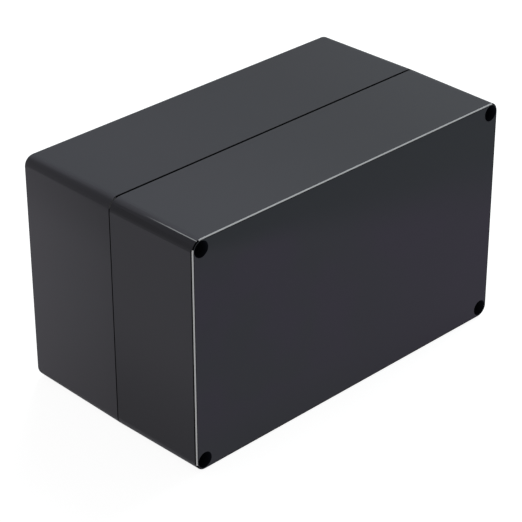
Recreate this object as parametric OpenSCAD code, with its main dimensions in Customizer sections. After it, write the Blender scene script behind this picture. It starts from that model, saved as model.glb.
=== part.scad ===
// Deep project box in two moulded halves. The base and the lid are drafted tubs that meet at a
// seam, with a tongue and a seal cord between them, and four long screws at the corners clamp them.
// The box stands on a long side with its lid to the front (-Y) and its back to +Y. X runs across,
// Z is up, and the origin is on the standing surface under the middle of the box. Millimetres.

/* [Box] */
// Width, measured at the seam
box_w = 200; // [190:1:240]
// Height as it stands, measured at the seam
box_h = 119.5; // [105:0.5:160]
// Depth of the base, from the seam to the back
base_d = 60.5; // [40:0.5:90]
// Depth of the lid, from the seam to its face
lid_d = 53; // [35:1:80]
// Wall thickness at the seam
wall = 3.5; // [3.3:0.1:4.5]
// Thickness of the back and of the lid's face
panel_t = 3; // [2.5:0.5:5]
// Radius of the four long corners, measured at the seam
corner_r = 6; // [5:0.5:8]

/* [Moulding] */
// Draft of the base's outer walls, in degrees
base_draft = 0.6; // [0.3:0.1:1.2]
// Draft of the lid's outer walls, in degrees
lid_draft = 0.7; // [0.3:0.1:1.2]
// Draft of the walls inside, in degrees
inner_draft = 0.5; // [0.3:0.1:1]
// Rounding round the back
back_round = 2; // [1:0.5:3]
// Chamfer round the lid's face
face_chamfer = 0.5; // [0.3:0.1:0.8]
// Slot left open round the seam
seam_gap = 0.6; // [0.2:0.1:0.8]

/* [Seal] */
// Width of the land outside the groove
land_w = 1; // [0.8:0.1:1.2]
// Width of the groove and of the cord in it
groove_w = 1.7; // [1.5:0.1:1.8]
// Depth of the groove in the lid's rim
groove_d = 3; // [2.5:0.1:4]
// Height of the tongue on the base's rim
tongue_h = 1.4; // [1:0.1:1.6]

/* [Corner posts] */
// Distance of each lid screw from the two sides of its corner
screw_in = 5.7; // [5.6:0.1:6.2]
// Diameter of the wells that the screw heads sink into
well_dia = 8.1; // [7.8:0.1:8.2]
// Depth of the wells
well_depth = 8; // [4:0.5:10]
// Distance of each wall-mounting hole from the lid screw beside it
mount_step = 10.3; // [10.2:0.1:14]
// Diameter of the wall-mounting holes
mount_dia = 4.5; // [3.5:0.1:5]
// Diameter of the shafts that lead to the wall-mounting holes
shaft_dia = 8.4; // [7.5:0.1:8.4]

/* [Board bosses] */
// Distance between the bosses across the box
boss_spacing_x = 140; // [100:5:145]
// Distance between the bosses up the box
boss_spacing_z = 80; // [60:5:85]
// Diameter of a boss
boss_dia = 7; // [6:0.5:9]
// Height of the bosses on the back
boss_h = 8; // [5:0.5:15]
// Height of the bosses on the lid's face
lid_boss_h = 5; // [3:0.5:12]

/* [Hidden] */
$fn = 64;
over = 1;
depth = base_d + lid_d;
post_r = well_dia / 2 + wall;
screw_x = box_w / 2 - screw_in;
screw_z = box_h / 2 - screw_in;
mount_x = screw_x - mount_step;
mount_floor = 6;
lid_shaft_top = 5;
inner_round = 1.5;
round_steps = 6;
tongue_clear = 0.2;
thread_r = 2;
thread_clear = 0.05;
hole_r = 2.2;
head_r = 3.7;
head_h = 2.6;
head_round = 0.8;
screw_bite = 5;
screw_l = lid_d - well_depth + screw_bite;
recess_w = 1;
recess_l = 4.4;
recess_d = 1.6;
insert_r = 2.8;
insert_l = 8;
insert_waist = 0.35;
insert_hole_l = 12;
pilot_r = 1.4;
pilot_d = 7;
lid_pilot_d = 5;
rib_t = 1.2;
rib_foot = 4;
rib_drop = 1.5;
plastic = [0.22, 0.22, 0.24];
cord = [0.08, 0.08, 0.08];
steel = [0.05, 0.05, 0.06];
brass = [0.78, 0.62, 0.3];

// --- Places: each half is drawn on its own seam plane, with +Z going away from the seam ---

module on_lid_side()
    translate([0, lid_d - depth / 2, box_h / 2])
        rotate([90, 0, 0])
            children();

module on_base_side()
    translate([0, lid_d - depth / 2, box_h / 2])
        mirror([0, 1, 0])
            rotate([90, 0, 0])
                children();

module at_corners()
    for (flip_x = [0, 1], flip_z = [0, 1])
        mirror([flip_x, 0, 0])
            mirror([0, flip_z, 0])
                children();

module at_bosses(height)
    at_corners()
        translate([boss_spacing_x / 2, boss_spacing_z / 2, height])
            children();

// --- Forms that both halves share ---

// A length to the nearest thousandth, so that faces made from different sums meet exactly
function exact(length) = round(1000 * length) / 1000;

// Outline of a wall as [inset, height] points: from the seam, along the draft, round the far edge
function wall_line(height, draft, round_r, steps, start = 0) =
    concat(
        [[exact(start * tan(draft)), start]],
        [for (i = [0 : steps])
            let (turn = 90 * i / steps)
            [exact(height * tan(draft) + round_r * (1 - cos(turn))),
             exact(height - round_r * (1 - sin(turn)))]]
    );

// A slab across the box, of the given length, whose two long walls follow the wall line
module walled_slab(span, length, line) {
    back = [for (i = [len(line) - 1 : -1 : 0]) line[i]];
    rotate([90, 0, 0])
        linear_extrude(height = length, center = true)
            polygon(concat([for (p = line) [span / 2 - p[0], p[1]]], [for (p = back) [p[0] - span / 2, p[1]]]));
}

// A block of w by h with rounded long corners, whose four walls follow the wall line
module drafted_block(w, h, r, line) {
    walled_slab(w, h - 2 * r, line);
    rotate([0, 0, 90])
        walled_slab(h, w - 2 * r, line);
    at_corners()
        translate([w / 2 - r, h / 2 - r, 0])
            rotate_extrude()
                polygon(concat([[0, line[0][1]]], [for (p = line) [r - p[0], p[1]]],
                               [[0, line[len(line) - 1][1]]]));
}

module rounded_plan(w, h, r) {
    square([w - 2 * r, h], center = true);
    square([w, h - 2 * r], center = true);
    at_corners()
        translate([w / 2 - r, h / 2 - r])
            circle(r);
}

// Plan of a corner post, which holds a lid screw and the mounting shaft beside it
module post_plan(r) {
    translate([mount_x, screw_z])
        circle(r);
    translate([mount_x, screw_z - r])
        square([box_w / 2 - mount_x, screw_in + r]);
}

// Plan of the inside of the seal's path, which passes inside the corner posts
module seal_plan(inset)
    difference() {
        square([box_w - 2 * inset, box_h - 2 * inset], center = true);
        at_corners()
            post_plan(well_dia / 2 + inset);
    }

module seal_band(outer_inset, inner_inset, height)
    linear_extrude(height = height)
        difference() {
            seal_plan(outer_inset);
            seal_plan(inner_inset);
        }

// A boss with four gussets, standing up to the given height from the panel behind it
module boss(standing_h) {
    boss_r = boss_dia / 2;
    foot_r = boss_r + rib_foot;
    cylinder(r = boss_r, h = standing_h + over);
    for (turn = [0 : 90 : 270])
        rotate([90, 0, turn])
            linear_extrude(height = rib_t, center = true)
                polygon([[0, rib_drop], [boss_r, rib_drop], [foot_r, standing_h],
                         [foot_r, standing_h + over], [0, standing_h + over]]);
}

// The hollow of one half, with the posts and bosses left standing in it; the posts fill its corners
module hollow(inner_d, standing_h) {
    line = wall_line(inner_d, inner_draft, inner_round, round_steps / 2, -over);
    difference() {
        intersection() {
            walled_slab(box_w - 2 * wall, box_h, line);
            rotate([0, 0, 90])
                walled_slab(box_h - 2 * wall, box_w, line);
        }
        at_corners()
            translate([0, 0, -2 * over])
                linear_extrude(height = inner_d + 3 * over)
                    post_plan(post_r);
        at_bosses(inner_d - standing_h)
            boss(standing_h);
    }
}

// One half: a drafted tub with the slot round its rim that shows as the seam
module half_tub(outer_d, draft, round_r, steps, standing_h)
    difference() {
        drafted_block(box_w, box_h, corner_r, wall_line(outer_d, draft, round_r, steps));
        hollow(outer_d - panel_t, standing_h);
        translate([0, 0, -over])
            linear_extrude(height = over + seam_gap / 2)
                difference() {
                    square([box_w + over, box_h + over], center = true);
                    rounded_plan(box_w - 2 * land_w, box_h - 2 * land_w, corner_r - land_w);
                }
    }

module drilled(x, z, r, from, to)
    translate([x, z, from])
        cylinder(r = r, h = to - from);

// --- The pieces ---

module base()
    color(plastic)
        on_base_side() {
            difference() {
                half_tub(base_d, base_draft, back_round, round_steps, boss_h);
                at_corners() {
                    drilled(screw_x, screw_z, insert_r, -over, insert_l);
                    drilled(screw_x, screw_z, hole_r, insert_l - over, insert_hole_l);
                    drilled(mount_x, screw_z, shaft_dia / 2, -over, base_d - mount_floor);
                    drilled(mount_x, screw_z, mount_dia / 2, 0, base_d + over);
                }
                at_bosses(base_d - panel_t - boss_h - over)
                    cylinder(r = pilot_r, h = pilot_d + over);
            }
            translate([0, 0, -tongue_h])
                seal_band(land_w + tongue_clear, land_w + groove_w - tongue_clear, tongue_h + over);
        }

module lid()
    color(plastic)
        on_lid_side()
            difference() {
                half_tub(lid_d, lid_draft, face_chamfer, 1, lid_boss_h);
                translate([0, 0, -over])
                    seal_band(land_w, land_w + groove_w, groove_d + over);
                at_corners() {
                    drilled(screw_x, screw_z, hole_r, -over, lid_d);
                    drilled(screw_x, screw_z, well_dia / 2, lid_d - well_depth, lid_d + over);
                    drilled(mount_x, screw_z, shaft_dia / 2, -over, lid_d - lid_shaft_top);
                }
                at_bosses(lid_d - panel_t - lid_boss_h - over)
                    cylinder(r = pilot_r, h = lid_pilot_d + over);
            }

module gasket()
    color(cord)
        on_lid_side()
            translate([0, 0, tongue_h])
                seal_band(land_w, land_w + groove_w, groove_d - tongue_h);

// A pan-head screw with a cross recess; its underside sits on the floor of the well
module lid_screw(side_x, side_z) {
    rounding = [for (i = [0 : round_steps])
        let (turn = 90 * i / round_steps)
        [head_r - head_round * (1 - cos(turn)), head_h - head_round * (1 - sin(turn))]];
    shank_r = thread_r - thread_clear;
    color(steel)
        on_lid_side()
            translate([side_x * screw_x, side_z * screw_z, lid_d - well_depth])
                difference() {
                    rotate_extrude()
                        polygon(concat(
                            [[0, -screw_l], [shank_r - 0.5, -screw_l], [shank_r, -screw_l + 0.5],
                             [shank_r, 0], [head_r, 0]],
                            rounding,
                            [[0, head_h]]
                        ));
                    for (turn = [0, 90])
                        rotate([0, 0, turn])
                            translate([-recess_l / 2, -recess_w / 2, head_h - recess_d])
                                cube([recess_l, recess_w, recess_d + over]);
                }
}

// A threaded brass insert with two waists, pressed into the top of a post
module insert(side_x, side_z) {
    waist_r = insert_r - insert_waist;
    band = insert_l / 5;
    color(brass)
        on_base_side()
            translate([side_x * screw_x, side_z * screw_z, 0])
                rotate_extrude()
                    polygon([
                        [thread_r, 0], [insert_r, 0], [insert_r, band], [waist_r, band],
                        [waist_r, 2 * band], [insert_r, 2 * band], [insert_r, 3 * band],
                        [waist_r, 3 * band], [waist_r, 4 * band], [insert_r, 4 * band],
                        [insert_r, 5 * band], [thread_r, 5 * band]
                    ]);
}

base();
lid();
gasket();
lid_screw(-1, 1);  // lid_screw_top_left
lid_screw(1, 1);  // lid_screw_top_right
lid_screw(-1, -1);  // lid_screw_bottom_left
lid_screw(1, -1);  // lid_screw_bottom_right
insert(-1, 1);  // insert_top_left
insert(1, 1);  // insert_top_right
insert(-1, -1);  // insert_bottom_left
insert(1, -1);  // insert_bottom_right
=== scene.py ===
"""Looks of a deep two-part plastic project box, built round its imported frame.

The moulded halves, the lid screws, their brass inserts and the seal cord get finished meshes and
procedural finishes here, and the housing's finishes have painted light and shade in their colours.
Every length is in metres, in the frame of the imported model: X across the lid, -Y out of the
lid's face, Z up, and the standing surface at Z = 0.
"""

import logging
import math
from dataclasses import dataclass
from enum import Enum

import bmesh
import bpy
from mathutils import Matrix, Vector


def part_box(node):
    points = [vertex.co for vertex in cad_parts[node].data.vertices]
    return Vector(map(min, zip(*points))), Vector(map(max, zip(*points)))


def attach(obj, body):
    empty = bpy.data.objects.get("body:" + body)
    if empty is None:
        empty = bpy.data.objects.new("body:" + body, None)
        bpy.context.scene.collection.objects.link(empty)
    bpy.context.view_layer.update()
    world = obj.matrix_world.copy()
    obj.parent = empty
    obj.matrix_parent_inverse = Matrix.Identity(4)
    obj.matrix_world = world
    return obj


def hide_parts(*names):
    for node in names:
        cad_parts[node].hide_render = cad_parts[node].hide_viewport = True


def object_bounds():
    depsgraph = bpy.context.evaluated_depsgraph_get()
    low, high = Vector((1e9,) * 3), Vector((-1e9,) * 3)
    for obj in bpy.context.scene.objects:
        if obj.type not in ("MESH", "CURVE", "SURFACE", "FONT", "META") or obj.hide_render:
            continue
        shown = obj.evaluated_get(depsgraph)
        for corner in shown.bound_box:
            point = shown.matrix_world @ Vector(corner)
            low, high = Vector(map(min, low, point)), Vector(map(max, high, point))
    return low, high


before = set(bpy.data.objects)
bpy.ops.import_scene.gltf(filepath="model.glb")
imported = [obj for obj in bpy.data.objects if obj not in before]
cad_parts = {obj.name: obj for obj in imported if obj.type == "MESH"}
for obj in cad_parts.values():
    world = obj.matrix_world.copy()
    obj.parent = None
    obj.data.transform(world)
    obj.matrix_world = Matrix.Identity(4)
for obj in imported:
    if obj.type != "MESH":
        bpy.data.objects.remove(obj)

CAD_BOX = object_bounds()
MM = 0.001
LOG = logging.getLogger("project_box")
BODY = "root"
# The slack allowed when a point is compared with a plane
SLACK = 0.01 * MM
# Edges that turn more than this, in radians, are rounded over
SHARP = math.radians(35)
# Edges of the mouldings and the seal that turn less than this, in degrees, are shaded smooth
SMOOTH_MOULDING = 40.0
# How far the draft draws the lid's face in from its outline at the seam
FACE_INSET = 0.648 * MM

Colour = tuple[float, float, float]
Span = tuple[float, float]
Socket = bpy.types.NodeSocket
Tree = bpy.types.NodeTree


class Half(Enum):
    """The two moulded halves of the housing, by the name of their nodes."""

    BASE = "base"
    LID = "lid"


class Corner(Enum):
    """The four corners as the lid is looked at: side along X and side along Z."""

    TOP_LEFT = (-1, 1)
    TOP_RIGHT = (1, 1)
    BOTTOM_LEFT = (-1, -1)
    BOTTOM_RIGHT = (1, -1)

    @property
    def label(self) -> str:
        """The corner's name as the frame's nodes spell it."""
        return self.name.lower()


class Zone(Enum):
    """The zones of a moulded half that get different materials, some of them painted light and some
    painted shade.
    """

    BODY = "body"
    RECESS = "recess"
    WELL = "well"
    FLASH = "flash"
    RUBBED_TOP = "rubbed_top"
    RUBBED_SIDE = "rubbed_side"


# --- Node helpers -------------------------------------------------------------------------------


def new_group(name: str, inputs: dict[str, float | Colour | None], outputs: dict[str, str]) -> Tree:
    """Makes an empty shader node group with named sockets.

    Args:
        name: The group's name.
        inputs: Each input's name with its value: a number, a colour, or None for a vector.
        outputs: Each output's name with its socket type.

    Returns:
        The group, with nodes named In and Out in it.
    """
    group = bpy.data.node_groups.new(name, "ShaderNodeTree")
    for label, value in inputs.items():
        if value is None:
            group.interface.new_socket(label, in_out="INPUT", socket_type="NodeSocketVector")
        elif isinstance(value, tuple):
            made = group.interface.new_socket(label, in_out="INPUT", socket_type="NodeSocketColor")
            made.default_value = (*value, 1.0)
        else:
            made = group.interface.new_socket(label, in_out="INPUT", socket_type="NodeSocketFloat")
            made.default_value = value
    for label, kind in outputs.items():
        group.interface.new_socket(label, in_out="OUTPUT", socket_type=kind)
    group.nodes.new("NodeGroupInput").name = "In"
    group.nodes.new("NodeGroupOutput").name = "Out"
    return group


def place_group(tree: Tree, group: Tree, **values: float | Colour | Socket) -> bpy.types.Node:
    """Places a node group in a tree and sets or links its inputs.

    Args:
        tree: The tree that the group goes into.
        group: The group.
        values: Each input's value or the socket that feeds it, with _ for a space in its name.

    Returns:
        The group's node.
    """
    node = tree.nodes.new("ShaderNodeGroup")
    node.node_tree = group
    for label, value in values.items():
        socket = node.inputs[label.replace("_", " ")]
        if isinstance(value, Socket):
            tree.links.new(value, socket)
        elif isinstance(value, tuple):
            socket.default_value = (*value, 1.0)
        else:
            socket.default_value = value
    return node


def calc(tree: Tree, operation: str, *values: float | Socket) -> Socket:
    """Adds a Math node fed by numbers or sockets, in order, and returns its result."""
    node = tree.nodes.new("ShaderNodeMath")
    node.operation = operation
    for index, value in enumerate(values):
        if isinstance(value, Socket):
            tree.links.new(value, node.inputs[index])
        else:
            node.inputs[index].default_value = value
    return node.outputs[0]


def product(tree: Tree, *factors: float | Socket) -> Socket:
    """Multiplies numbers or sockets together, and returns the result."""
    result = factors[0]
    for factor in factors[1:]:
        result = calc(tree, "MULTIPLY", result, factor)
    return result


def largest(tree: Tree, *values: Socket) -> Socket:
    """Returns the largest of the sockets."""
    result = values[0]
    for value in values[1:]:
        result = calc(tree, "MAXIMUM", result, value)
    return result


def inverse(tree: Tree, value: Socket) -> Socket:
    """Returns what is left of 1 when the value is taken from it."""
    return calc(tree, "SUBTRACT", 1.0, value)


def between(tree: Tree, factor: Socket, low: float, high: float) -> Socket:
    """Returns a number that runs from low to high as the factor runs from 0 to 1."""
    return calc(tree, "MULTIPLY_ADD", factor, high - low, low)


def ramp(tree: Tree, value: Socket, span: Span) -> Socket:
    """Adds a smooth step that runs from 0 to 1 over a span, and returns its result."""
    node = tree.nodes.new("ShaderNodeMapRange")
    node.interpolation_type = "SMOOTHSTEP"
    tree.links.new(value, node.inputs["Value"])
    node.inputs["From Min"].default_value, node.inputs["From Max"].default_value = span
    return node.outputs["Result"]


def blend(tree: Tree, factor: Socket, first: Socket, second: Socket | Colour) -> Socket:
    """Adds a colour mix from the first to the second by the factor, and returns its result."""
    node = tree.nodes.new("ShaderNodeMix")
    node.data_type = "RGBA"
    tree.links.new(factor, node.inputs["Factor"])
    tree.links.new(first, node.inputs["A"])
    if isinstance(second, Socket):
        tree.links.new(second, node.inputs["B"])
    else:
        node.inputs["B"].default_value = (*second, 1.0)
    return node.outputs["Result"]


def split(tree: Tree, vector: Socket) -> tuple[Socket, Socket, Socket]:
    """Returns a vector's three parts."""
    node = tree.nodes.new("ShaderNodeSeparateXYZ")
    tree.links.new(vector, node.inputs[0])
    return node.outputs["X"], node.outputs["Y"], node.outputs["Z"]


# --- Shared effects -----------------------------------------------------------------------------


@dataclass(frozen=True)
class Effects:
    """The node groups that more than one finish uses."""

    tone: Tree
    grain: Tree

    @staticmethod
    def build() -> "Effects":
        """Makes both shared groups once."""
        return Effects(Effects._tone(), Effects._grain())

    @staticmethod
    def noise(tree: Tree, vector: Socket, scale: float | Socket, detail: float,
              rough: float) -> Socket:
        """Adds a noise texture to a tree and returns its value.

        Args:
            tree: The tree.
            vector: The place where the noise is read.
            scale: The noise's scale, as a number or as the socket that feeds it.
            detail: How many finer layers it has.
            rough: How strong the finer layers are.

        Returns:
            The noise's value.
        """
        node = tree.nodes.new("ShaderNodeTexNoise")
        tree.links.new(vector, node.inputs["Vector"])
        node.inputs["Detail"].default_value = detail
        node.inputs["Roughness"].default_value = rough
        if isinstance(scale, Socket):
            tree.links.new(scale, node.inputs["Scale"])
        else:
            node.inputs["Scale"].default_value = scale
        return node.outputs["Fac"]

    @staticmethod
    def _tone() -> Tree:
        """The slow drift between two tones that pigment and flow leave in a moulding."""
        grey = (0.02, 0.02, 0.02)
        group = new_group(
            "tone_drift",
            {"Vector": None, "Scale": 14.0, "Tone A": grey, "Tone B": grey},
            {"Color": "NodeSocketColor", "Drift": "NodeSocketFloat"},
        )
        entry, out = group.nodes["In"].outputs, group.nodes["Out"].inputs
        drift = Effects.noise(group, entry["Vector"], entry["Scale"], 2.0, 0.45)
        group.links.new(blend(group, drift, entry["Tone A"], entry["Tone B"]), out["Color"])
        group.links.new(drift, out["Drift"])
        return group

    @staticmethod
    def _grain() -> Tree:
        """The fine grain of a spark-eroded tool over a faint slow waviness, as a height."""
        group = new_group(
            "moulded_grain",
            {"Vector": None, "Scale": 2500.0, "Waviness": 0.2},
            {"Height": "NodeSocketFloat"},
        )
        entry, out = group.nodes["In"].outputs, group.nodes["Out"].inputs
        fine = Effects.noise(group, entry["Vector"], entry["Scale"], 3.0, 0.6)
        slow_scale = product(group, entry["Scale"], 0.02)
        slow = Effects.noise(group, entry["Vector"], slow_scale, 1.0, 0.5)
        height = calc(group, "MULTIPLY_ADD", slow, entry["Waviness"], fine)
        group.links.new(height, out["Height"])
        return group


# --- Finishes -----------------------------------------------------------------------------------


@dataclass(frozen=True)
class Finish:
    """What every finish has: two tones of its colour, a gloss and a fine grain."""

    name: str
    tone_a: Colour
    tone_b: Colour
    roughness: float
    specular: float = 0.5
    metallic: float = 0.0
    gloss_drift: float = 0.06
    tone_scale: float = 14.0
    grain_scale: float = 2500.0
    grain_depth: float = 0.01 * MM
    waviness: float = 0.2

    def material(self, effects: Effects) -> bpy.types.Material:
        """Builds the finish as a node material.

        Args:
            effects: The shared node groups.

        Returns:
            The material.
        """
        made = bpy.data.materials.new(self.name)
        made.use_nodes = True
        tree = made.node_tree
        shader = tree.nodes["Principled BSDF"]
        shader.inputs["Metallic"].default_value = self.metallic
        shader.inputs["Specular IOR Level"].default_value = self.specular
        place = tree.nodes.new("ShaderNodeTexCoord")
        spot, normal = place.outputs["Object"], place.outputs["Normal"]
        tone = place_group(tree, effects.tone, Vector=spot, Scale=self.tone_scale,
                           Tone_A=self.tone_a, Tone_B=self.tone_b)
        colour = self.tint(tree, tone.outputs["Color"], spot, normal)
        tree.links.new(colour, shader.inputs["Base Color"])
        glossy, dull = self.roughness - self.gloss_drift / 2, self.roughness + self.gloss_drift / 2
        rough = between(tree, tone.outputs["Drift"], glossy, dull)
        tree.links.new(rough, shader.inputs["Roughness"])
        grain = place_group(tree, effects.grain, Vector=spot, Scale=self.grain_scale,
                            Waviness=self.waviness)
        bump = tree.nodes.new("ShaderNodeBump")
        bump.inputs["Strength"].default_value = 1.0
        bump.inputs["Distance"].default_value = self.grain_depth
        tree.links.new(grain.outputs["Height"], bump.inputs["Height"])
        tree.links.new(bump.outputs["Normal"], shader.inputs["Normal"])
        return made

    def tint(self, tree: Tree, colour: Socket, spot: Socket, normal: Socket) -> Socket:
        """Changes the colour by place. A plain finish leaves it as it is."""
        return colour


@dataclass(frozen=True)
class ShellPlastic(Finish):
    """The housing's plastic, with painted light on its left side and painted shade on the turn
    above that side.

    The spans are of Z or X in metres, or of how squarely a face looks left or up, from 0 to 1.
    """

    # A pale colour blended in as painted light, and a near black one blended in as painted shade
    painted_light: Colour = (0.2, 0.19, 0.215)
    shade: Colour = (0.006, 0.006, 0.007)
    left_span: Span = (0.985, 1.0)
    up_span: Span = (0.8, 1.0)
    # The painted light on the left side, which grows from one Y to another
    side_light_from: float = 0.0
    side_light_to: float = 0.06
    side_light_near: float = 0.03
    side_light_far: float = 0.03
    # The shade at the side's foot and below its upper edge
    shade_foot: float = 0.28
    foot_span: Span = (0.0, 70 * MM)
    shade_brow: float = 0.0
    brow_span: Span = (84 * MM, 114 * MM)
    # The turn from the top to the side: painted light on its shoulder and painted shade below that
    turn_span: Span = (0.0, 0.06)
    turn_lift: float = 0.14
    shoulder_rise: Span = (0.0, 0.3)
    shoulder_fall: Span = (0.38, 0.66)
    far_lift: float = 0.0
    far_lift_span: Span = (0.1, 0.5)
    shade_turn: float = 0.34
    shade_span: Span = (0.6, 0.98)
    turn_ease: float = 0.0
    # The shade on the top, which deepens to the right
    shade_far: float = 0.29
    far_span: Span = (-90 * MM, 55 * MM)

    def tint(self, tree: Tree, colour: Socket, spot: Socket, normal: Socket) -> Socket:
        """Paints light on the side and on the turn's shoulder, and lays painted shade over them and
        the top.
        """
        across, along, height = split(tree, spot)
        side, _, up = split(tree, normal)
        leftward = product(tree, side, -1.0)
        facing = ramp(tree, leftward, self.left_span)
        turning = ramp(tree, up, self.turn_span)
        from_near = calc(tree, "SUBTRACT", along, self.side_light_from)
        far = calc(tree, "DIVIDE", from_near, self.side_light_to - self.side_light_from)
        side_light = between(tree, far, self.side_light_near, self.side_light_far)
        colour = blend(tree, product(tree, side_light, facing), colour, self.painted_light)
        lift = self._lift(tree, leftward, far)
        colour = blend(tree, product(tree, lift, turning), colour, self.painted_light)
        low = inverse(tree, ramp(tree, height, self.foot_span))
        foot = product(tree, low, facing, self.shade_foot)
        brow = product(tree, ramp(tree, height, self.brow_span), facing, self.shade_brow)
        eased = between(tree, far, self.shade_turn, self.shade_turn * (1 - self.turn_ease))
        turn = product(tree, ramp(tree, leftward, self.shade_span), turning, eased)
        far_side = product(tree, ramp(tree, up, self.up_span), ramp(tree, across, self.far_span),
                           self.shade_far)
        return blend(tree, largest(tree, foot, brow, turn, far_side), colour, self.shade)

    def _lift(self, tree: Tree, leftward: Socket, far: Socket) -> Socket:
        """Returns how much painted light the turn gets: on its shoulder, and all over it towards
        the far end.
        """
        rise = ramp(tree, leftward, self.shoulder_rise)
        fall = inverse(tree, ramp(tree, leftward, self.shoulder_fall))
        shoulder = product(tree, rise, fall, self.turn_lift)
        whole = product(tree, ramp(tree, leftward, self.far_lift_span), far)
        return calc(tree, "MULTIPLY_ADD", whole, self.far_lift, shoulder)


@dataclass(frozen=True)
class LidPlastic(ShellPlastic):
    """The lid's plastic, with a painted bluer cast on its face and a painted highlight streak on
    the turn above its left side.
    """

    # The lid's face: its height and depth in the frame, and its tones: a painted bluer cast, a
    # mottle, and painted shade that darkens and reddens it to the right
    face_top: float = 0.0
    face_y: float = 0.0
    face_tone: Colour = (0.0483, 0.0451, 0.0609)
    face_mottle: Colour = (0.0453, 0.0466, 0.0561)
    patch_scale: float = 22.0
    patch_detail: float = 3.0
    patch_rough: float = 0.55
    patch_span: Span = (0.42, 0.62)
    face_foot: Span = (5 * MM, 35 * MM)
    face_far: Colour = (0.0470, 0.0420, 0.0595)
    face_far_share: float = 0.8
    face_far_span: Span = (-60 * MM, 90 * MM)
    # The painted shade below the face's upper edge, which gets deeper to the right
    face_brow: Colour = (0.0363, 0.0398, 0.0464)
    brow_depth: float = 23.5 * MM
    brow_slope: float = 0.19
    brow_fall: Span = (0.5, 1.6)
    # The painted light on the top's left end
    top_lift: float = 0.035
    top_span: Span = (-95 * MM, 10 * MM)
    # The painted highlight streak on the turn: its place on the face, its lean, its half width and
    # where it fades out, with painted light above it and painted shade below it
    streak_highlight: Colour = (0.43, 0.43, 0.44)
    streak_x: float = 0.0
    streak_slope: float = 0.0122
    streak_half: float = 0.17 * MM
    streak_span: Span = (12 * MM, 35 * MM)
    streak_up: float = 0.7
    streak_lift: float = 0.95
    roll_shade: float = 0.3
    roll_span: Span = (0.6, 0.9)

    def tint(self, tree: Tree, colour: Socket, spot: Socket, normal: Socket) -> Socket:
        """Lays the top's painted pale end, the face's tones and the painted highlight streak over
        the housing's plastic.
        """
        colour = super().tint(tree, colour, spot, normal)
        across, _, _ = split(tree, spot)
        _, _, up = split(tree, normal)
        near = inverse(tree, ramp(tree, across, self.top_span))
        pale = product(tree, near, ramp(tree, up, self.up_span), self.top_lift)
        colour = blend(tree, pale, colour, self.painted_light)
        colour = self._with_face(tree, colour, spot, normal)
        return self._with_streak(tree, colour, spot, normal)

    def _with_face(self, tree: Tree, colour: Socket, spot: Socket, normal: Socket) -> Socket:
        """Lays the face's painted bluer cast, its mottle, and its painted shade to the right and
        below its upper edge over the colour where a face looks outward.
        """
        across, _, height = split(tree, spot)
        _, front, _ = split(tree, normal)
        outward = ramp(tree, product(tree, front, -1.0), self.up_span)
        colour = blend(tree, outward, colour, self.face_tone)
        noise = Effects.noise(tree, spot, self.patch_scale, self.patch_detail, self.patch_rough)
        low = inverse(tree, ramp(tree, height, self.face_foot))
        mottled = largest(tree, ramp(tree, noise, self.patch_span), low)
        colour = blend(tree, product(tree, mottled, outward), colour, self.face_mottle)
        far = product(tree, ramp(tree, across, self.face_far_span), outward, self.face_far_share)
        colour = blend(tree, far, colour, self.face_far)
        reach = calc(tree, "MULTIPLY_ADD", across, self.brow_slope, self.brow_depth)
        depth = calc(tree, "DIVIDE", calc(tree, "SUBTRACT", self.face_top, height), reach)
        brow = product(tree, inverse(tree, ramp(tree, depth, self.brow_fall)), outward)
        return blend(tree, brow, colour, self.face_brow)

    def _with_streak(self, tree: Tree, colour: Socket, spot: Socket, normal: Socket) -> Socket:
        """Draws the painted highlight streak, paints light on the turn above it and paints shade on
        the turn below it.
        """
        across, along, _ = split(tree, spot)
        side, _, up = split(tree, normal)
        behind = calc(tree, "SUBTRACT", along, self.face_y)
        reach = inverse(tree, ramp(tree, behind, self.streak_span))
        edge = calc(tree, "MULTIPLY_ADD", behind, self.streak_slope, self.streak_x)
        past = calc(tree, "SUBTRACT", product(tree, across, -1.0), edge)
        below = product(tree, calc(tree, "GREATER_THAN", past, 0.0), ramp(tree, up, self.roll_span))
        colour = blend(tree, product(tree, below, self.roll_shade, reach), colour, self.shade)
        upper = calc(tree, "GREATER_THAN", up, self.streak_up)
        above = product(tree, side, side, calc(tree, "LESS_THAN", past, 0.0),
                        calc(tree, "LESS_THAN", across, 0.0))
        lift = product(tree, above, upper, reach, self.streak_lift)
        colour = blend(tree, lift, colour, self.painted_light)
        thin = calc(tree, "LESS_THAN", calc(tree, "ABSOLUTE", past), self.streak_half)
        return blend(tree, product(tree, thin, upper, reach), colour, self.streak_highlight)


# --- Meshes -------------------------------------------------------------------------------------


def merged(node_name: str) -> bmesh.types.BMesh:
    """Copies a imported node's mesh with its loose triangles merged into whole flat faces."""
    weld, flat = 0.002 * MM, math.radians(0.2)
    shape = bmesh.new()
    shape.from_mesh(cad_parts[node_name].data)
    bmesh.ops.remove_doubles(shape, verts=shape.verts, dist=weld)
    bmesh.ops.dissolve_limit(shape, angle_limit=flat, verts=shape.verts, edges=shape.edges)
    return shape


def join(shape: bmesh.types.BMesh, other: bmesh.types.BMesh) -> None:
    """Adds another mesh to a mesh and frees it."""
    mesh = bpy.data.meshes.new("joined")
    other.to_mesh(mesh)
    other.free()
    shape.from_mesh(mesh)
    bpy.data.meshes.remove(mesh)


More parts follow.
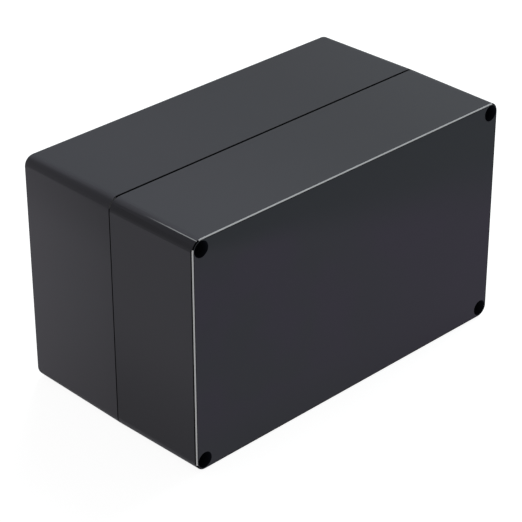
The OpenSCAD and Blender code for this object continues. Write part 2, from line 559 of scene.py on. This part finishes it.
def carve(shape: bmesh.types.BMesh, tool: bmesh.types.BMesh) -> None:
    """Subtracts a closed mesh from a mesh with a Boolean modifier, and frees the tool."""
    parts = []
    for source, name in ((shape, "carved"), (tool, "tool")):
        mesh = bpy.data.meshes.new(name)
        source.to_mesh(mesh)
        parts.append(bpy.data.objects.new(name, mesh))
        bpy.context.scene.collection.objects.link(parts[-1])
    tool.free()
    cut = parts[0].modifiers.new("cut", "BOOLEAN")
    cut.operation = "DIFFERENCE"
    cut.solver = "EXACT"
    cut.object = parts[1]
    graph = bpy.context.evaluated_depsgraph_get()
    result = bpy.data.meshes.new_from_object(parts[0].evaluated_get(graph))
    shape.clear()
    shape.from_mesh(result)
    bpy.data.meshes.remove(result)
    for part in parts:
        mesh = part.data
        bpy.data.objects.remove(part)
        bpy.data.meshes.remove(mesh)


def finished(shape: bmesh.types.BMesh, name: str, stands_for: str,
             materials: list[bpy.types.Material], smooth_to: float = 30.0) -> bpy.types.Object:
    """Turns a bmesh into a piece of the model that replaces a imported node.

    Args:
        shape: The mesh, which is freed.
        name: The piece's name.
        stands_for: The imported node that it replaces.
        materials: The piece's materials, in the order of its faces' indices.
        smooth_to: Edges that turn less than this many degrees are shaded smooth.

    Returns:
        The piece.
    """
    mesh = bpy.data.meshes.new(name)
    for face in shape.faces:
        face.smooth = True
    limit = math.radians(smooth_to)
    for edge in shape.edges:
        edge.smooth = edge.is_manifold and edge.calc_face_angle(0.0) < limit
    shape.to_mesh(mesh)
    shape.free()
    for material in materials:
        mesh.materials.append(material)
    piece = bpy.data.objects.new(name, mesh)
    bpy.context.scene.collection.objects.link(piece)
    weighted = piece.modifiers.new("flat_faces", "WEIGHTED_NORMAL")
    weighted.keep_sharp = True
    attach(piece, BODY)
    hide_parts(stands_for)
    LOG.info("%s stands for %s, with %d faces", name, stands_for, len(mesh.polygons))
    return piece


# --- Sub-assemblies -----------------------------------------------------------------------------


@dataclass
class MouldedHalf:
    """One drafted half of the housing: merged faces, eased edges and a finish for each zone."""

    half: Half
    finishes: dict[Zone, Finish]
    seam_y: float
    # Half the width of the slot round the seam, and the strip of painted shade beside it on the top
    slot_half: float = 0.3 * MM
    strip: float = 0.32 * MM
    strip_skin: float = 0.2 * MM
    # How far the slot goes in, and where the seal's parts are, from the seam and from outside
    slot_reach: float = 1.1 * MM
    seal_zone: float = 3.2 * MM
    seal_inset: float = 0.9 * MM
    corner_r: float = 6.0 * MM
    corner_reach: float = 4.6 * MM
    ease: float = 0.09 * MM
    # The wells, whose walls and floors get painted shade, and how far round a well its wall and its
    # rim are looked for
    screw_in: float = 5.7 * MM
    well_r: float = 4.05 * MM
    well_end: float = 8.5 * MM
    well_start: float = 0.12 * MM
    wall_margin: float = 0.05 * MM
    rim_margin: float = 0.15 * MM
    # The chamfer round the lid's face with a painted highlight on its top and left runs, the
    # hairlines of painted shade beside it and its corners of painted shade
    chamfer: float = 0.5 * MM
    chamfer_end: float = 0.525 * MM
    chamfer_lean: Span = (-0.93, -0.35)
    hairline: float = 0.35 * MM
    side_hairline: float = 0.8 * MM
    corner_gap: float = 3.75 * MM
    # How squarely a normal points along an axis: nearly so, fully so, or leaning that way
    mostly: float = 0.9
    squarely: float = 0.97
    leaning: float = 0.3

    def build(self, effects: Effects) -> bpy.types.Object:
        """Builds the half, eases its sharp edges and gives each zone its finish."""
        shape = merged(self.half.value)
        self._ease(shape)
        self._score(shape)
        zones = list(self.finishes)
        for face in shape.faces:
            face.material_index = zones.index(self._zone(face))
        materials = [finish.material(effects) for finish in self.finishes.values()]
        return finished(shape, f"{self.half.value}_moulding", self.half.value,
                        materials, SMOOTH_MOULDING)

    def _ease(self, shape: bmesh.types.BMesh) -> None:
        """Rounds the outward edges over, save the close ones round the seal."""
        sharp = [edge for edge in shape.edges if edge.is_manifold and edge.is_convex
                 and edge.calc_face_angle(0.0) > SHARP and not self._by_seal(edge)]
        bmesh.ops.bevel(shape, geom=sharp, offset=self.ease, offset_type="OFFSET", segments=2,
                        profile=0.5, affect="EDGES", clamp_overlap=False, material=-1)

    def _by_seal(self, edge: bmesh.types.BMEdge) -> bool:
        """Says whether an edge lies in the tongue, the groove or the rim's inner parts."""
        close = any(abs(vert.co.y - self.seam_y) < self.seal_zone for vert in edge.verts)
        return close and any(self._inset(vert.co) > self.seal_inset for vert in edge.verts)

    def _score(self, shape: bmesh.types.BMesh) -> None:
        """Cuts the lines that bound the narrow zones into the faces."""
        side = 1.0 if self.half is Half.BASE else -1.0
        low, high = CAD_BOX
        turn = self.corner_reach
        cuts = [((0, self.seam_y + side * (self.slot_half + self.strip), 0), (0, 1, 0)),
                ((low.x + turn, 0, 0), (1, 0, 0)), ((0, 0, high.z - turn), (0, 0, 1))]
        if self.half is Half.LID:
            inward = FACE_INSET + self.chamfer + self.hairline
            cuts += [((0, low.y + self.chamfer + self.side_hairline, 0), (0, 1, 0)),
                     ((0, 0, high.z - inward), (0, 0, 1)), ((0, 0, low.z + inward), (0, 0, 1)),
                     ((low.x + inward, 0, 0), (1, 0, 0)), ((high.x - inward, 0, 0), (1, 0, 0))]
        merge = 0.0001 * MM
        for place, across in cuts:
            everything = [*shape.verts, *shape.edges, *shape.faces]
            bmesh.ops.bisect_plane(shape, geom=everything, dist=merge, plane_co=place,
                                   plane_no=across)

    def _zone(self, face: bmesh.types.BMFace) -> Zone:
        """Returns the zone that a face belongs to."""
        # The slot gets painted shade, and painted light where it turns a corner
        if self._in_slot(face):
            return Zone.FLASH if self._on_corner(face) else Zone.RECESS
        # The strip beside the slot gets painted shade
        if self._on_strip(face):
            return Zone.RECESS
        if self.half is Half.BASE:
            return Zone.BODY
        # A well's walls and floor get painted shade
        if self._in_well(face):
            return Zone.WELL
        # The hairlines beside the chamfer get painted shade
        if self._on_hairline(face):
            return Zone.RECESS
        return self._chamfer_zone(face)

    def _inset(self, point: Vector) -> float:
        """Returns how far a point lies inside the housing's rounded outline."""
        low, high = CAD_BOX
        middle = (low + high) / 2
        over_x = abs(point.x - middle.x) - ((high.x - low.x) / 2 - self.corner_r)
        over_z = abs(point.z - middle.z) - ((high.z - low.z) / 2 - self.corner_r)
        beyond = math.hypot(max(over_x, 0.0), max(over_z, 0.0))
        return self.corner_r - beyond - min(max(over_x, over_z), 0.0)

    def _on_corner(self, face: bmesh.types.BMFace) -> bool:
        """Says whether a face lies on the middle of a corner's turn."""
        low, high = CAD_BOX
        middle = (low + high) / 2
        spot = face.calc_center_median()
        return abs(spot.x - middle.x) > (high.x - low.x) / 2 - self.corner_reach \
            and abs(spot.z - middle.z) > (high.z - low.z) / 2 - self.corner_reach

    def _in_slot(self, face: bmesh.types.BMFace) -> bool:
        """Says whether a face lies in the open slot round the seam."""
        near = all(abs(vert.co.y - self.seam_y) < self.slot_half + SLACK for vert in face.verts)
        insets = [self._inset(vert.co) for vert in face.verts]
        return near and min(insets) > -SLACK and max(insets) < self.slot_reach

    def _on_strip(self, face: bmesh.types.BMFace) -> bool:
        """Says whether a face lies on the strip of painted shade beside the slot, which only faces
        up.
        """
        reach = self.slot_half + self.strip + SLACK
        near = all(abs(vert.co.y - self.seam_y) < reach for vert in face.verts)
        outside = self._inset(face.calc_center_median()) < self.strip_skin
        return near and outside and face.normal.z > self.mostly

    def _in_well(self, face: bmesh.types.BMFace) -> bool:
        """Says whether a face is a wall or the floor of a lid screw's well."""
        low, _ = CAD_BOX
        shallow = max(vert.co.y for vert in face.verts) < low.y + self.well_end
        inside = face.calc_center_median().y > low.y + self.well_start
        return shallow and inside and self._round_well(face, self.wall_margin)

    def _round_well(self, face: bmesh.types.BMFace, margin: float) -> bool:
        """Says whether a face lies within a well's radius and a margin of a well's axis."""
        low, high = CAD_BOX
        middle = (low + high) / 2
        for corner in Corner:
            side_x, side_z = corner.value
            x = middle.x + side_x * ((high.x - low.x) / 2 - self.screw_in)
            z = middle.z + side_z * ((high.z - low.z) / 2 - self.screw_in)
            away = max(math.hypot(vert.co.x - x, vert.co.z - z) for vert in face.verts)
            if away < self.well_r + margin:
                return True
        return False

    def _on_hairline(self, face: bmesh.types.BMFace) -> bool:
        """Says whether a face lies on a hairline of painted shade: inside the chamfer, or on the
        left side.
        """
        low, high = CAD_BOX
        inward = FACE_INSET + self.chamfer + self.hairline
        back = low.y + self.chamfer + self.side_hairline + SLACK
        if any(vert.co.y > back for vert in face.verts):
            return False
        if face.normal.x < -self.squarely:
            return True
        by_end = min(max(high.z - vert.co.z for vert in face.verts),
                     max(vert.co.z - low.z for vert in face.verts))
        by_side = min(max(high.x - vert.co.x for vert in face.verts),
                      max(vert.co.x - low.x for vert in face.verts))
        return face.normal.y < -self.squarely and min(by_end, by_side) < inward + SLACK

    def _chamfer_zone(self, face: bmesh.types.BMFace) -> Zone:
        """Returns the zone of a face on the chamfer round the lid's face, or the body."""
        low, high = CAD_BOX
        spot, lean = face.calc_center_median(), face.normal
        least, most = self.chamfer_lean
        on_chamfer = spot.y < low.y + self.chamfer_end and least < lean.y < most
        if not on_chamfer or self._round_well(face, self.rim_margin):
            return Zone.BODY
        near_side = min(spot.x - low.x, high.x - spot.x) - FACE_INSET < self.corner_gap
        near_end = min(spot.z - low.z, high.z - spot.z) - FACE_INSET < self.corner_gap
        # The chamfer's corners get painted shade
        if near_side and near_end:
            return Zone.RECESS
        # The chamfer's top and left runs get a painted highlight
        if lean.z > self.leaning:
            return Zone.RUBBED_TOP
        return Zone.RUBBED_SIDE if lean.x < -self.leaning else Zone.BODY


@dataclass
class LidScrew:
    """A long pan-head screw with a cross recess and a rolled thread."""

    corner: Corner
    finish: Finish
    head_r: float = 3.7 * MM
    head_h: float = 2.6 * MM
    head_round: float = 0.8 * MM
    head_edge: float = 0.1 * MM
    neck: float = 0.2 * MM
    shank_r: float = 1.95 * MM
    run_out: float = 0.3 * MM
    core_r: float = 1.6 * MM
    point_l: float = 0.5 * MM
    point_in: float = 0.4 * MM
    # The thread: its pitch, its tooth's root, foot and crest, and how finely it is wound
    pitch: float = 0.7 * MM
    turns: int = 20
    root: float = 0.05 * MM
    foot_half: float = 0.3 * MM
    crest_half: float = 0.06 * MM
    steps_per_turn: int = 24
    recess_w: float = 1.0 * MM
    recess_l: float = 4.4 * MM
    recess_d: float = 1.6 * MM
    recess_taper: tuple[float, float, float] = (0.55, 1.0, 0.6)
    segments: int = 64

    def build(self, effects: Effects) -> bpy.types.Object:
        """Turns the screw, presses its recess in and rolls its thread on."""
        node = f"lid_screw_{self.corner.label}"
        low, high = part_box(node)
        length = high[1] - low[1]
        shape = self._turned(length)
        self._press_recess(shape)
        self._roll_thread(shape, length)
        place = Matrix.Translation(((low[0] + high[0]) / 2, low[1], (low[2] + high[2]) / 2))
        bmesh.ops.transform(shape, matrix=place, verts=shape.verts)
        bmesh.ops.recalc_face_normals(shape, faces=shape.faces)
        return finished(shape, f"{node}_turned", node, [self.finish.material(effects)])

    def _turned(self, length: float) -> bmesh.types.BMesh:
        """Spins the screw's profile round its axis, with the head's top at the origin."""
        crown = []
        for angle in range(0, 91, 15):
            turn = math.radians(angle)
            crown.append((self.head_r - self.head_round * (1 - math.sin(turn)),
                          self.head_round * (1 - math.cos(turn))))
        thread_from = length - self.turns * self.pitch
        profile = [(0.0, 0.0), *crown, (self.head_r, self.head_h - self.head_edge),
                   (self.head_r - self.head_edge, self.head_h),
                   (self.shank_r + self.neck, self.head_h),
                   (self.shank_r, self.head_h + self.neck),
                   (self.shank_r, thread_from - self.run_out),
                   (self.core_r, thread_from), (self.core_r, length - self.point_l),
                   (self.core_r - self.point_in, length), (0.0, length)]
        shape = bmesh.new()
        points = [shape.verts.new((radius, depth, 0.0)) for radius, depth in profile]
        lines = [shape.edges.new(pair) for pair in zip(points, points[1:])]
        bmesh.ops.spin(shape, geom=[*points, *lines], cent=(0, 0, 0), axis=(0, 1, 0),
                       dvec=(0, 0, 0), angle=math.tau, steps=self.segments, use_merge=True)
        weld = 0.001 * MM
        bmesh.ops.remove_doubles(shape, verts=shape.verts, dist=weld)
        bmesh.ops.recalc_face_normals(shape, faces=shape.faces)
        return shape

    def _press_recess(self, shape: bmesh.types.BMesh) -> None:
        """Cuts the tapered cross recess into the head."""
        for quarter in (0.0, math.pi / 2):
            punch = bmesh.new()
            bmesh.ops.create_cube(punch, size=1.0)
            scale = Matrix.Diagonal((self.recess_l, self.recess_d * 2, self.recess_w, 1.0))
            bmesh.ops.transform(punch, matrix=scale, verts=punch.verts)
            deep = [vert for vert in punch.verts if vert.co.y > 0]
            bmesh.ops.scale(punch, vec=self.recess_taper, verts=deep)
            turned = Matrix.Rotation(quarter, 3, "Y")
            bmesh.ops.rotate(punch, cent=(0, 0, 0), matrix=turned, verts=punch.verts)
            carve(shape, punch)

    def _roll_thread(self, shape: bmesh.types.BMesh, length: float) -> None:
        """Winds a closed ridge round the screw's core."""
        start = length - self.turns * self.pitch
        tooth = [(self.core_r - self.root, -self.foot_half), (self.shank_r, -self.crest_half),
                 (self.shank_r, self.crest_half), (self.core_r - self.root, self.foot_half)]
        ridge = bmesh.new()
        points = [ridge.verts.new((radius, start + along, 0.0)) for radius, along in tooth]
        lines = [ridge.edges.new((points[i], points[(i + 1) % 4])) for i in range(4)]
        turns = self.turns - 1
        bmesh.ops.spin(ridge, geom=[*points, *lines], cent=(0, 0, 0), axis=(0, 1, 0),
                       dvec=(0, self.pitch / self.steps_per_turn, 0), angle=math.tau * turns,
                       steps=self.steps_per_turn * turns)
        bmesh.ops.holes_fill(ridge, edges=[edge for edge in ridge.edges if edge.is_boundary])
        bmesh.ops.recalc_face_normals(ridge, faces=ridge.faces)
        join(shape, ridge)


@dataclass
class ThreadedInsert:
    """A brass insert with two knurled bands, a waist between them and a threaded bore."""

    corner: Corner
    finish: Finish
    outer_r: float = 2.8 * MM
    bore_r: float = 2.0 * MM
    waist: float = 0.35 * MM
    lip: float = 0.3 * MM
    # Where the collar ends, and where each knurled band starts and ends, as shares of the length
    collar: float = 0.12
    front_band: Span = (0.13, 0.42)
    waist_span: Span = (0.45, 0.55)
    back_band: Span = (0.58, 0.93)
    knurl: float = 0.15 * MM
    thread: float = 0.2 * MM
    pitch: float = 0.7 * MM
    segments: int = 72

    def build(self, effects: Effects) -> bpy.types.Object:
        """Stacks the insert's rings along its axis and joins each to the next."""
        node = f"insert_{self.corner.label}"
        low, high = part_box(node)
        axis = ((low[0] + high[0]) / 2, 0.0, (low[2] + high[2]) / 2)
        shape = bmesh.new()
        loops = [self._ring(shape, axis, *ring) for ring in self._rings(low[1], high[1])]
        for loop, following in zip(loops, [*loops[1:], loops[0]]):
            bmesh.ops.bridge_loops(shape, edges=[*loop, *following])
        bmesh.ops.recalc_face_normals(shape, faces=shape.faces)
        return finished(shape, f"{node}_turned", node, [self.finish.material(effects)])

    def _rings(self, front: float, back: float) -> list[tuple[float, float, bool]]:
        """Lists each ring's place along the axis, its radius and whether it is knurled."""
        length = back - front
        narrow = self.outer_r - self.waist
        outside = [(0.0, self.outer_r - self.lip, False), (self.lip, self.outer_r, False),
                   (self.collar * length, self.outer_r, False)]
        outside += [(share * length, self.outer_r, True) for share in self.front_band]
        outside += [(share * length, narrow, False) for share in self.waist_span]
        outside += [(share * length, self.outer_r, True) for share in self.back_band]
        outside.append((length, self.outer_r - self.lip, False))
        count = int(length / self.pitch * 2) - 1
        inside = [(length, self.bore_r + self.thread, False)]
        for i in range(count):
            radius = self.bore_r + self.thread * (i % 2)
            inside.append((length * (1 - (i + 1) / (count + 1)), radius, False))
        inside.append((0.0, self.bore_r + self.thread, False))
        return [(front + place, radius, knurled) for place, radius, knurled in [*outside, *inside]]

    def _ring(self, shape: bmesh.types.BMesh, axis: tuple[float, float, float], place: float,
              radius: float, knurled: bool) -> list[bmesh.types.BMEdge]:
        """Adds one ring and cuts the knurl's hollows into it."""
        centre = Vector((axis[0], place, axis[2]))
        upright = Matrix.Translation(centre) @ Matrix.Rotation(math.pi / 2, 4, "X")
        made = bmesh.ops.create_circle(shape, cap_ends=False, segments=self.segments,
                                       radius=radius, matrix=upright)["verts"]
        if knurled:
            for vert in made[::3]:
                vert.co = centre + (vert.co - centre) * (1 - self.knurl / radius)
        ring = set(made)
        return [edge for edge in shape.edges if edge.verts[0] in ring and edge.verts[1] in ring]


@dataclass
class SealCord:
    """The seal round the rim, with its corners rounded over."""

    finish: Finish
    rounding: float = 0.35 * MM

    def build(self, effects: Effects) -> bpy.types.Object:
        """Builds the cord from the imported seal."""
        shape = merged("gasket")
        sharp = [edge for edge in shape.edges if edge.calc_face_angle(0.0) > SHARP]
        bmesh.ops.bevel(shape, geom=sharp, offset=self.rounding, offset_type="OFFSET", segments=3,
                        profile=0.5, affect="EDGES", clamp_overlap=False, material=-1)
        return finished(shape, "seal_cord", "gasket", [self.finish.material(effects)],
                        SMOOTH_MOULDING)


# --- Studio -------------------------------------------------------------------------------------


@dataclass
class Studio:
    """The floor, the white surround, the lamps and the camera."""

    azimuth: float = -44.312
    elevation: float = 29.654
    roll: float = -0.137
    distance: float = 0.99038
    aim: Vector = Vector((-5.586 * MM, -1.950 * MM, -9.306 * MM))
    lens: float = 142.38
    sensor: float = 36.0
    view_end: float = 50.0
    floor_size: float = 8.0
    floor_tone: float = 0.3
    floor_roughness: float = 0.9
    floor_seen: float = 0.915
    floor_glow: float = 0.68
    world_light: float = 0.3
    # Each lamp's name, place, size, power and colour
    lamps: tuple = (
        ("key", (3.0, 1.2, 3.2), 3.0, 190.0, (0.88, 0.975, 1.0)),
    )

    def build(self, centre: Vector) -> None:
        """Sets the whole studio up round the middle of the object's box."""
        self._camera(centre)
        self._floor()
        self._world()
        for name, place, size, power, colour in self.lamps:
            self._lamp(name, Vector(place), centre, size, power, colour)
        bpy.context.scene.view_settings.view_transform = "Standard"

    def _camera(self, centre: Vector) -> None:
        """Places the camera on its azimuth and elevation round the point it looks at."""
        turn, lift = math.radians(self.azimuth), math.radians(self.elevation)
        away = Vector((math.sin(turn) * math.cos(lift), -math.cos(turn) * math.cos(lift),
                       math.sin(lift)))
        lens = bpy.data.cameras.new("camera")
        lens.sensor_width = self.sensor
        lens.lens = self.lens
        lens.clip_end = self.view_end
        camera = bpy.data.objects.new("camera", lens)
        camera.location = centre + self.aim + away * self.distance
        level = (-away).to_track_quat("-Z", "Y").to_matrix()
        rolled = level @ Matrix.Rotation(math.radians(self.roll), 3, "Z")
        camera.rotation_euler = rolled.to_euler()
        bpy.context.scene.collection.objects.link(camera)
        bpy.context.scene.camera = camera

    def _floor(self) -> None:
        """Lays the plain pale floor."""
        shape = bmesh.new()
        bmesh.ops.create_grid(shape, x_segments=1, y_segments=1, size=self.floor_size / 2)
        mesh = bpy.data.meshes.new("floor")
        shape.to_mesh(mesh)
        shape.free()
        floor = bpy.data.objects.new("floor", mesh)
        bpy.context.scene.collection.objects.link(floor)
        made = bpy.data.materials.new("floor")
        made.use_nodes = True
        tree = made.node_tree
        shader = tree.nodes["Principled BSDF"]
        shader.inputs["Base Color"].default_value = (*[self.floor_tone] * 3, 1.0)
        shader.inputs["Roughness"].default_value = self.floor_roughness
        shader.inputs["Specular IOR Level"].default_value = 0.0
        shader.inputs["Emission Color"].default_value = (1.0, 1.0, 1.0, 1.0)
        glow = between(tree, self._seen(tree), self.floor_glow, self.floor_seen)
        tree.links.new(glow, shader.inputs["Emission Strength"])
        mesh.materials.append(made)

    @staticmethod
    def _seen(tree: Tree) -> Socket:
        """Returns 1 for rays that look, straight or mirrored or through, and 0 for others."""
        path = tree.nodes.new("ShaderNodeLightPath").outputs
        return largest(tree, path["Is Camera Ray"], path["Is Glossy Ray"],
                       path["Is Transmission Ray"])

    def _world(self) -> None:
        """Makes a white surround that lights the object softly."""
        world = bpy.data.worlds.new("studio")
        bpy.context.scene.world = world
        world.use_nodes = True
        tree = world.node_tree
        shade = tree.nodes["Background"]
        shade.inputs["Color"].default_value = (1.0, 1.0, 1.0, 1.0)
        level = between(tree, self._seen(tree), self.world_light, 1.0)
        tree.links.new(level, shade.inputs["Strength"])

    @staticmethod
    def _lamp(name: str, place: Vector, aim: Vector, size: float, power: float,
              colour: Colour) -> None:
        """Hangs one square softbox.

        Args:
            name: The lamp's name.
            place: Where it hangs.
            aim: The point that it faces.
            size: The side of its square.
            power: Its power in watts.
            colour: Its colour.
        """
        light = bpy.data.lights.new(name, "AREA")
        light.shape = "SQUARE"
        light.size = size
        light.energy = power
        light.color = colour
        lamp = bpy.data.objects.new(name, light)
        lamp.location = place
        lamp.rotation_euler = (aim - place).to_track_quat("-Z", "Y").to_euler()
        bpy.context.scene.collection.objects.link(lamp)


def main() -> None:
    """Builds the studio and every piece in order."""
    logging.basicConfig(level=logging.INFO, format="%(name)s: %(message)s")
    low, high = CAD_BOX
    middle = (low + high) / 2
    half_size = (high - low) / 2
    Studio().build(middle)
    effects = Effects.build()
    seam_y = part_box("lid")[1][1]
    # How far in from the side the painted highlight streak runs
    streak_in = 2.95 * MM
    shell = dict(tone_a=(0.0492, 0.0500, 0.0580), tone_b=(0.0553, 0.0525, 0.0595),
                 roughness=0.5, specular=0.03)
    # A pale grey painted as a highlight on the top and left runs of the lid's chamfer
    edge_highlight = dict(tone_a=(0.5, 0.5, 0.51), tone_b=(0.58, 0.58, 0.59), roughness=0.4, specular=0.3)
    shared = {
        # Near black painted as shade in the slot, on the strip beside it, on the hairlines and in
        # the chamfer's corners
        Zone.RECESS: Finish("painted_shade_plastic", (0.002, 0.002, 0.002), (0.003, 0.003, 0.003),
                            roughness=0.6, specular=0.0),
        # A light grey painted as light in the slot where it turns a corner
        Zone.FLASH: Finish("painted_slot_light", (0.17, 0.17, 0.17), (0.19, 0.19, 0.19),
                           roughness=0.6, specular=0.1),
    }
    base_finishes = {
        # The base's side gets painted light that grows towards the back, and painted shade at its
        # foot, below its upper edge and on its turn
        Zone.BODY: ShellPlastic("base_plastic", **shell, side_light_from=seam_y, side_light_to=high.y,
                                side_light_near=0.08, side_light_far=0.24, shade_foot=0.11, shade_brow=0.2,
                                shade_turn=0.1, turn_ease=1.0, far_lift=0.05),
        **shared,
    }
    lid_finishes = {
        Zone.BODY: LidPlastic("lid_plastic", **shell, face_y=low.y, face_top=high.z - FACE_INSET,
                              streak_x=half_size.x - FACE_INSET - streak_in),
        **shared,
        # A darker copy of the plastic, painted as shade in the wells
        Zone.WELL: Finish("painted_well_shade", (0.010, 0.011, 0.016), (0.013, 0.014, 0.019),
                          roughness=0.6, specular=0.0),
        Zone.RUBBED_TOP: Finish("rubbed_top", **edge_highlight),
        Zone.RUBBED_SIDE: Finish("rubbed_side", **edge_highlight),
    }
    black_steel = Finish("black_steel", (0.006, 0.006, 0.007), (0.008, 0.008, 0.009),
                         roughness=0.5, specular=0.1)
    brass = Finish("turned_brass", (0.62, 0.45, 0.18), (0.7, 0.52, 0.22),
                   roughness=0.3, metallic=1.0)
    rubber = Finish("seal_rubber", (0.02, 0.02, 0.02), (0.025, 0.025, 0.025),
                    roughness=0.8, specular=0.2)
    MouldedHalf(Half.BASE, base_finishes, seam_y).build(effects)
    MouldedHalf(Half.LID, lid_finishes, seam_y).build(effects)
    SealCord(rubber).build(effects)
    for corner in Corner:
        LidScrew(corner, black_steel).build(effects)
        ThreadedInsert(corner, brass).build(effects)


if __name__ == "__main__":
    main()
